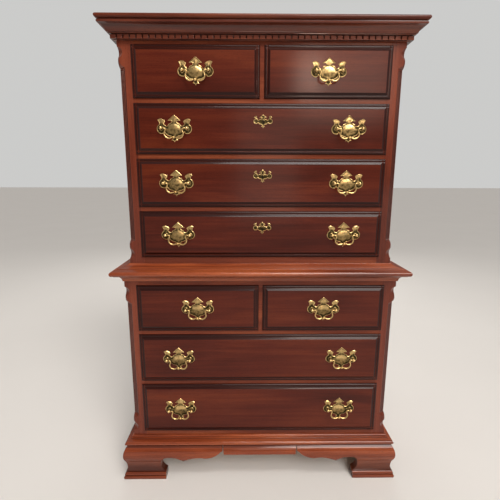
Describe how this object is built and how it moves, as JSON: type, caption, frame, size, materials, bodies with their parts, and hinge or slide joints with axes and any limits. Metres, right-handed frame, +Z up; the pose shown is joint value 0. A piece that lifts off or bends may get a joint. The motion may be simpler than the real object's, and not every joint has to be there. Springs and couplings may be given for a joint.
{
  "type": "tall chest of drawers",
  "caption": "Tall two-case chest of drawers with lipped drawers, fluted chamfered corners, dentil cornice, brass bail pulls and ogee bracket feet.",
  "frame": {"origin": "on the floor under the middle of the overall box, bottom of the feet at Z = 0", "axes": "+Z up, the drawer fronts face -Y and pull out along -Y, +X to the viewer's right when facing the front"},
  "size_m": [0.946, 0.485, 1.477],
  "materials": {
    "case_mahogany": "gloss lacquer, red-brown mahogany",
    "moulding_mahogany": "gloss lacquer, lighter orange-brown mahogany",
    "drawer_front_mahogany": "gloss lacquer, dark red mahogany with the grain across",
    "secondary_wood": "plain unpolished wood",
    "brass": "antiqued cast brass, polished on the high places"
  },
  "bodies": {
    "case": {"back_panels": "secondary_wood", "base_moulding": "moulding_mahogany", "bracket_feet": "moulding_mahogany", "case_boards": "secondary_wood", "cornice_moulding": "moulding_mahogany", "dentil_moulding": "moulding_mahogany", "drawer_runners": "secondary_wood", "foot_blocks": "secondary_wood", "lower_corner_posts": "case_mahogany", "lower_drawer_rails": "case_mahogany", "lower_side_panels": "case_mahogany", "top_board": "moulding_mahogany", "upper_corner_posts": "case_mahogany", "upper_drawer_rails": "case_mahogany", "upper_side_panels": "case_mahogany", "waist_moulding": "moulding_mahogany"},
    "upper_left_drawer": {"upper_left_drawer_front": "drawer_front_mahogany", "upper_left_drawer_box": "secondary_wood", "upper_left_drawer_pull_mounts": "brass"},
    "upper_left_drawer_bail": {"upper_left_drawer_bail": "brass"},
    "upper_right_drawer": {"upper_right_drawer_front": "drawer_front_mahogany", "upper_right_drawer_box": "secondary_wood", "upper_right_drawer_pull_mounts": "brass"},
    "upper_right_drawer_bail": {"upper_right_drawer_bail": "brass"},
    "upper_second_drawer": {"upper_second_drawer_front": "drawer_front_mahogany", "upper_second_drawer_box": "secondary_wood", "upper_second_drawer_pull_mounts": "brass", "upper_second_drawer_escutcheon": "brass"},
    "upper_second_drawer_left_bail": {"upper_second_drawer_left_bail": "brass"},
    "upper_second_drawer_right_bail": {"upper_second_drawer_right_bail": "brass"},
    "upper_third_drawer": {"upper_third_drawer_front": "drawer_front_mahogany", "upper_third_drawer_box": "secondary_wood", "upper_third_drawer_pull_mounts": "brass", "upper_third_drawer_escutcheon": "brass"},
    "upper_third_drawer_left_bail": {"upper_third_drawer_left_bail": "brass"},
    "upper_third_drawer_right_bail": {"upper_third_drawer_right_bail": "brass"},
    "upper_fourth_drawer": {"upper_fourth_drawer_front": "drawer_front_mahogany", "upper_fourth_drawer_box": "secondary_wood", "upper_fourth_drawer_pull_mounts": "brass", "upper_fourth_drawer_escutcheon": "brass"},
    "upper_fourth_drawer_left_bail": {"upper_fourth_drawer_left_bail": "brass"},
    "upper_fourth_drawer_right_bail": {"upper_fourth_drawer_right_bail": "brass"},
    "lower_left_drawer": {"lower_left_drawer_front": "drawer_front_mahogany", "lower_left_drawer_box": "secondary_wood", "lower_left_drawer_pull_mounts": "brass"},
    "lower_left_drawer_bail": {"lower_left_drawer_bail": "brass"},
    "lower_right_drawer": {"lower_right_drawer_front": "drawer_front_mahogany", "lower_right_drawer_box": "secondary_wood", "lower_right_drawer_pull_mounts": "brass"},
    "lower_right_drawer_bail": {"lower_right_drawer_bail": "brass"},
    "lower_middle_drawer": {"lower_middle_drawer_front": "drawer_front_mahogany", "lower_middle_drawer_box": "secondary_wood", "lower_middle_drawer_pull_mounts": "brass"},
    "lower_middle_drawer_left_bail": {"lower_middle_drawer_left_bail": "brass"},
    "lower_middle_drawer_right_bail": {"lower_middle_drawer_right_bail": "brass"},
    "lower_bottom_drawer": {"lower_bottom_drawer_front": "drawer_front_mahogany", "lower_bottom_drawer_box": "secondary_wood", "lower_bottom_drawer_pull_mounts": "brass"},
    "lower_bottom_drawer_left_bail": {"lower_bottom_drawer_left_bail": "brass"},
    "lower_bottom_drawer_right_bail": {"lower_bottom_drawer_right_bail": "brass"}
  },
  "joints": [
    {"name": "upper_left_drawer_slide", "type": "slide", "parent": "case", "child": "upper_left_drawer", "axis": [0, -1, 0], "range_m": [0, 0.31]},
    {"name": "upper_left_drawer_bail_swing", "type": "hinge", "parent": "upper_left_drawer", "child": "upper_left_drawer_bail", "pos_m": [-0.19375, -0.2134, 1.3375], "axis": [-1, 0, 0], "range_deg": [-15, 95]},
    {"name": "upper_right_drawer_slide", "type": "slide", "parent": "case", "child": "upper_right_drawer", "axis": [0, -1, 0], "range_m": [0, 0.31]},
    {"name": "upper_right_drawer_bail_swing", "type": "hinge", "parent": "upper_right_drawer", "child": "upper_right_drawer_bail", "pos_m": [0.19375, -0.2134, 1.3375], "axis": [-1, 0, 0], "range_deg": [-15, 95]},
    {"name": "upper_second_drawer_slide", "type": "slide", "parent": "case", "child": "upper_second_drawer", "axis": [0, -1, 0], "range_m": [0, 0.31]},
    {"name": "upper_second_drawer_left_bail_swing", "type": "hinge", "parent": "upper_second_drawer", "child": "upper_second_drawer_left_bail", "pos_m": [-0.261, -0.2134, 1.1775], "axis": [-1, 0, 0], "range_deg": [-15, 95]},
    {"name": "upper_second_drawer_right_bail_swing", "type": "hinge", "parent": "upper_second_drawer", "child": "upper_second_drawer_right_bail", "pos_m": [0.261, -0.2134, 1.1775], "axis": [-1, 0, 0], "range_deg": [-15, 95]},
    {"name": "upper_third_drawer_slide", "type": "slide", "parent": "case", "child": "upper_third_drawer", "axis": [0, -1, 0], "range_m": [0, 0.31]},
    {"name": "upper_third_drawer_left_bail_swing", "type": "hinge", "parent": "upper_third_drawer", "child": "upper_third_drawer_left_bail", "pos_m": [-0.261, -0.2134, 1.0175], "axis": [-1, 0, 0], "range_deg": [-15, 95]},
    {"name": "upper_third_drawer_right_bail_swing", "type": "hinge", "parent": "upper_third_drawer", "child": "upper_third_drawer_right_bail", "pos_m": [0.261, -0.2134, 1.0175], "axis": [-1, 0, 0], "range_deg": [-15, 95]},
    {"name": "upper_fourth_drawer_slide", "type": "slide", "parent": "case", "child": "upper_fourth_drawer", "axis": [0, -1, 0], "range_m": [0, 0.31]},
    {"name": "upper_fourth_drawer_left_bail_swing", "type": "hinge", "parent": "upper_fourth_drawer", "child": "upper_fourth_drawer_left_bail", "pos_m": [-0.261, -0.2134, 0.8575], "axis": [-1, 0, 0], "range_deg": [-15, 95]},
    {"name": "upper_fourth_drawer_right_bail_swing", "type": "hinge", "parent": "upper_fourth_drawer", "child": "upper_fourth_drawer_right_bail", "pos_m": [0.261, -0.2134, 0.8575], "axis": [-1, 0, 0], "range_deg": [-15, 95]},
    {"name": "lower_left_drawer_slide", "type": "slide", "parent": "case", "child": "lower_left_drawer", "axis": [0, -1, 0], "range_m": [0, 0.31]},
    {"name": "lower_left_drawer_bail_swing", "type": "hinge", "parent": "lower_left_drawer", "child": "lower_left_drawer_bail", "pos_m": [-0.20325, -0.2314, 0.6175], "axis": [-1, 0, 0], "range_deg": [-15, 95]},
    {"name": "lower_right_drawer_slide", "type": "slide", "parent": "case", "child": "lower_right_drawer", "axis": [0, -1, 0], "range_m": [0, 0.31]},
    {"name": "lower_right_drawer_bail_swing", "type": "hinge", "parent": "lower_right_drawer", "child": "lower_right_drawer_bail", "pos_m": [0.20325, -0.2314, 0.6175], "axis": [-1, 0, 0], "range_deg": [-15, 95]},
    {"name": "lower_middle_drawer_slide", "type": "slide", "parent": "case", "child": "lower_middle_drawer", "axis": [0, -1, 0], "range_m": [0, 0.31]},
    {"name": "lower_middle_drawer_left_bail_swing", "type": "hinge", "parent": "lower_middle_drawer", "child": "lower_middle_drawer_left_bail", "pos_m": [-0.2705, -0.2314, 0.4435], "axis": [-1, 0, 0], "range_deg": [-15, 95]},
    {"name": "lower_middle_drawer_right_bail_swing", "type": "hinge", "parent": "lower_middle_drawer", "child": "lower_middle_drawer_right_bail", "pos_m": [0.2705, -0.2314, 0.4435], "axis": [-1, 0, 0], "range_deg": [-15, 95]},
    {"name": "lower_bottom_drawer_slide", "type": "slide", "parent": "case", "child": "lower_bottom_drawer", "axis": [0, -1, 0], "range_m": [0, 0.31]},
    {"name": "lower_bottom_drawer_left_bail_swing", "type": "hinge", "parent": "lower_bottom_drawer", "child": "lower_bottom_drawer_left_bail", "pos_m": [-0.2705, -0.2314, 0.258], "axis": [-1, 0, 0], "range_deg": [-15, 95]},
    {"name": "lower_bottom_drawer_right_bail_swing", "type": "hinge", "parent": "lower_bottom_drawer", "child": "lower_bottom_drawer_right_bail", "pos_m": [0.2705, -0.2314, 0.258], "axis": [-1, 0, 0], "range_deg": [-15, 95]}
  ]
}
